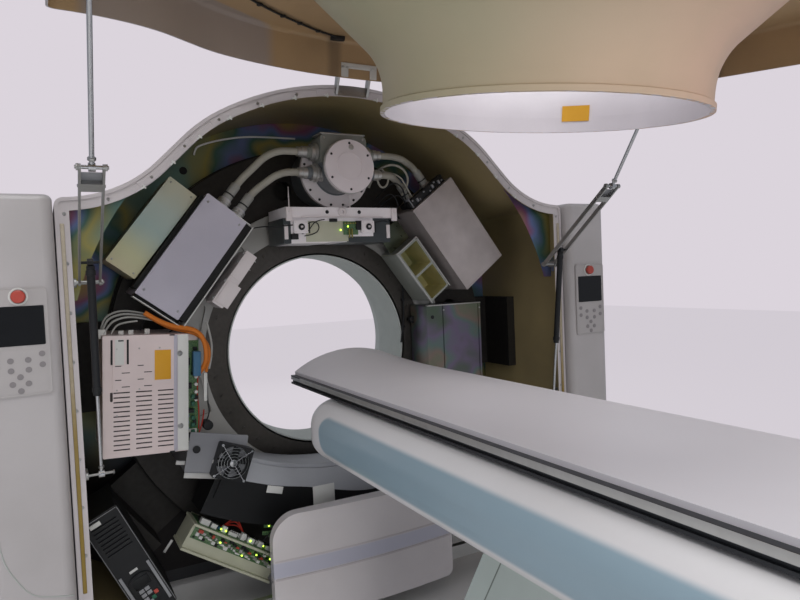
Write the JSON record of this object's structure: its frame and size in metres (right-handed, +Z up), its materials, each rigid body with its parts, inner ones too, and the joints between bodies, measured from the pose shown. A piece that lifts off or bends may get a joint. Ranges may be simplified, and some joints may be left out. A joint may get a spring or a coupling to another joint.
{
  "type": "ct scanner",
  "caption": "Computed tomography scanner with a tilting gantry, its front cover raised over the open rotor, and a lifting patient table.",
  "frame": {"origin": "on the floor under the isocentre, at the centre of the gantry's four floor anchors", "axes": "+Y along the bore, away from the table; +Z up; +X to the right seen from the table"},
  "size_m": [2.3, 3.37, 2.0356],
  "materials": {
    "housing_grp": "moulded glass-fibre, ochre inside",
    "cover_grp": "moulded glass-fibre, painted off-white outside",
    "white_cover": "off-white painted moulding",
    "funnel_white": "off-white moulding",
    "column_white": "off-white paint",
    "panel_grey": "light grey",
    "display_black": "dark display window",
    "keypad": "light grey membrane",
    "stop_red": "red",
    "steel_frame": "dark grey paint",
    "zinc_sheet": "zinc-plated sheet with an iridescent sheen",
    "cast_ring": "cast, light grey",
    "drum": "machined casting, darkened",
    "case_grey": "light grey painted case",
    "case_white": "white painted case",
    "case_black": "black painted case",
    "case_plated": "case with an iridescent plating",
    "case_brushed": "brushed case",
    "beam_rail": "dark painted extrusion",
    "bolt_ring": "dark steel",
    "steel": "bright steel",
    "chrome": "polished rod",
    "black_paint": "black paint",
    "tube_grey": "grey paint",
    "yellow_zinc": "yellow passivated zinc",
    "fan_black": "black",
    "board": "cream rails and boards",
    "hose_grey": "grey hose",
    "belt": "black belt",
    "tunnel": "light composite",
    "leg_white": "greenish-white paint",
    "cradle": "white cradle",
    "rail": "dark anodised",
    "inverter_black": "dark grey"
  },
  "bodies": {
    "root": {"base_frame": "steel_frame", "pylons": "steel_frame", "tilt_bearings": "steel", "left_column_cover": "column_white", "right_column_cover": "column_white", "control_panels": "panel_grey", "column_displays": "display_black", "column_keypads": "keypad", "table_base": "steel_frame"},
    "tilt_frame": {"rear_housing": "housing_grp", "ring_frame": "drum", "tunnel": "tunnel", "shroud_plates": "zinc_sheet", "hinge_bracket": "steel", "prop_brackets": "steel", "lower_front_cover": "white_cover", "lower_sill": "steel", "drive_inverter": "inverter_black", "drive_motor": "steel_frame", "drive_belt": "belt"},
    "rotor": {"rotor_drum": "drum", "bearing_inner_race": "steel", "bolt_ring": "bolt_ring", "drum_ring": "cast_ring", "xray_tube": "tube_grey", "tube_flange": "cast_ring", "collimator": "case_white", "inverter_box": "case_plated", "left_tank": "case_grey", "slim_module": "case_white", "power_supply": "case_white", "fan_frame": "fan_black", "fan_bracket": "zinc_sheet", "detector_housing": "case_black", "board_module": "board", "right_tank": "case_brushed", "bay_frame": "yellow_zinc", "lower_right_box": "case_plated", "rotor_hoses": "hose_grey"},
    "drive_pulley": {"drive_pulley": "steel"},
    "fan": {"fan_blades": "fan_black"},
    "front_cover": {"cover_shell": "cover_grp", "funnel": "funnel_white", "cover_hinge": "steel"},
    "left_stop": {"left_stop_button": "stop_red"},
    "right_stop": {"right_stop_button": "stop_red"},
    "table_leg": {"lift_leg": "leg_white"},
    "levelling_rod": {"levelling_rod": "steel"},
    "table_beam": {"beam_cover": "white_cover", "beam_frame": "beam_rail"},
    "table_cradle": {"cradle": "cradle", "side_rails": "rail"},
    "left_fork": {"left_fork": "steel"},
    "left_cover_rod": {"left_cover_rod": "chrome"},
    "left_gas_rod": {"left_gas_rod": "chrome"},
    "left_gas_cylinder": {"left_gas_cylinder": "black_paint"},
    "right_fork": {"right_fork": "steel"},
    "right_cover_rod": {"right_cover_rod": "chrome"},
    "right_gas_rod": {"right_gas_rod": "chrome"},
    "right_gas_cylinder": {"right_gas_cylinder": "black_paint"}
  },
  "joints": [
    {"name": "gantry_tilt", "type": "hinge", "parent": "root", "child": "tilt_frame", "pos_m": [0, 0, 0.958], "axis": [1, 0, 0], "range_deg": [-27, 12]},
    {"name": "rotor_spin", "type": "hinge", "parent": "tilt_frame", "child": "rotor", "pos_m": [0, 0, 0.958], "axis": [0, 1, 0], "continuous": true},
    {"name": "pulley_spin", "type": "hinge", "parent": "tilt_frame", "child": "drive_pulley", "pos_m": [0.67255, 0, 0.35244], "axis": [0, 1, 0], "continuous": true},
    {"name": "fan_spin", "type": "hinge", "parent": "rotor", "child": "fan", "pos_m": [-0.445, 0, 0.623], "axis": [0, 1, 0], "continuous": true},
    {"name": "cover_hinge", "type": "hinge", "parent": "tilt_frame", "child": "front_cover", "pos_m": [0, -0.43, 1.943], "axis": [-1, 0, 0], "range_deg": [-30, 0]},
    {"name": "table_lift", "type": "hinge", "parent": "root", "child": "table_leg", "pos_m": [0, -1.238, 0.16], "axis": [-1, 0, 0], "range_deg": [-35, 10]},
    {"name": "levelling_link", "type": "hinge", "parent": "root", "child": "levelling_rod", "pos_m": [0, -1.328, 0.16], "axis": [-1, 0, 0], "range_deg": [-35, 10]},
    {"name": "beam_level", "type": "hinge", "parent": "table_leg", "child": "table_beam", "pos_m": [0, -1.57741, 0.72487], "axis": [-1, 0, 0], "range_deg": [-10, 35]},
    {"name": "cradle_travel", "type": "slide", "parent": "table_beam", "child": "table_cradle", "axis": [0, 1, 0], "range_m": [-0.1, 1.43]},
    {"name": "left_fork_pivot", "type": "hinge", "parent": "tilt_frame", "child": "left_fork", "pos_m": [-0.863, -0.412, 1.26], "axis": [-1, 0, 0], "range_deg": [-50, 0]},
    {"name": "left_rod_pivot", "type": "hinge", "parent": "front_cover", "child": "left_cover_rod", "pos_m": [-0.863, -1, 1.88], "axis": [-1, 0, 0], "range_deg": [0, 62]},
    {"name": "left_gas_rod_pivot", "type": "hinge", "parent": "tilt_frame", "child": "left_gas_rod", "pos_m": [-0.863, -0.412, 0.7], "axis": [-1, 0, 0], "range_deg": [-4, 1]},
    {"name": "left_gas_stroke", "type": "slide", "parent": "left_gas_rod", "child": "left_gas_cylinder", "axis": [0, -0.1148, 0.9934], "range_m": [-0.07, 0.002]},
    {"name": "left_stop_press", "type": "slide", "parent": "root", "child": "left_stop", "axis": [0, 1, 0], "range_m": [0, 0.005], "stiffness_N_per_m": 600, "springref_m": -0.002},
    {"name": "right_fork_pivot", "type": "hinge", "parent": "tilt_frame", "child": "right_fork", "pos_m": [0.863, -0.412, 1.26], "axis": [-1, 0, 0], "range_deg": [-50, 0]},
    {"name": "right_rod_pivot", "type": "hinge", "parent": "front_cover", "child": "right_cover_rod", "pos_m": [0.863, -1, 1.88], "axis": [-1, 0, 0], "range_deg": [0, 62]},
    {"name": "right_gas_rod_pivot", "type": "hinge", "parent": "tilt_frame", "child": "right_gas_rod", "pos_m": [0.863, -0.412, 0.7], "axis": [-1, 0, 0], "range_deg": [-4, 1]},
    {"name": "right_gas_stroke", "type": "slide", "parent": "right_gas_rod", "child": "right_gas_cylinder", "axis": [0, -0.1148, 0.9934], "range_m": [-0.07, 0.002]},
    {"name": "right_stop_press", "type": "slide", "parent": "root", "child": "right_stop", "axis": [0, 1, 0], "range_m": [0, 0.005], "stiffness_N_per_m": 600, "springref_m": -0.002}
  ],
  "couplings": [
    {"joint": "pulley_spin", "follows": "rotor_spin", "ratio": 26.667},
    {"joint": "levelling_link", "follows": "table_lift", "ratio": 1},
    {"joint": "beam_level", "follows": "table_lift", "ratio": -1},
    {"joint": "left_fork_pivot", "follows": "cover_hinge", "ratio": 1.66},
    {"joint": "left_rod_pivot", "follows": "cover_hinge", "ratio": -2.04},
    {"joint": "left_gas_rod_pivot", "follows": "cover_hinge", "ratio": 0.1},
    {"joint": "left_gas_stroke", "follows": "cover_hinge", "m_per_rad": 0.128},
    {"joint": "right_fork_pivot", "follows": "cover_hinge", "ratio": 1.66},
    {"joint": "right_rod_pivot", "follows": "cover_hinge", "ratio": -2.04},
    {"joint": "right_gas_rod_pivot", "follows": "cover_hinge", "ratio": 0.1},
    {"joint": "right_gas_stroke", "follows": "cover_hinge", "m_per_rad": 0.128}
  ]
}
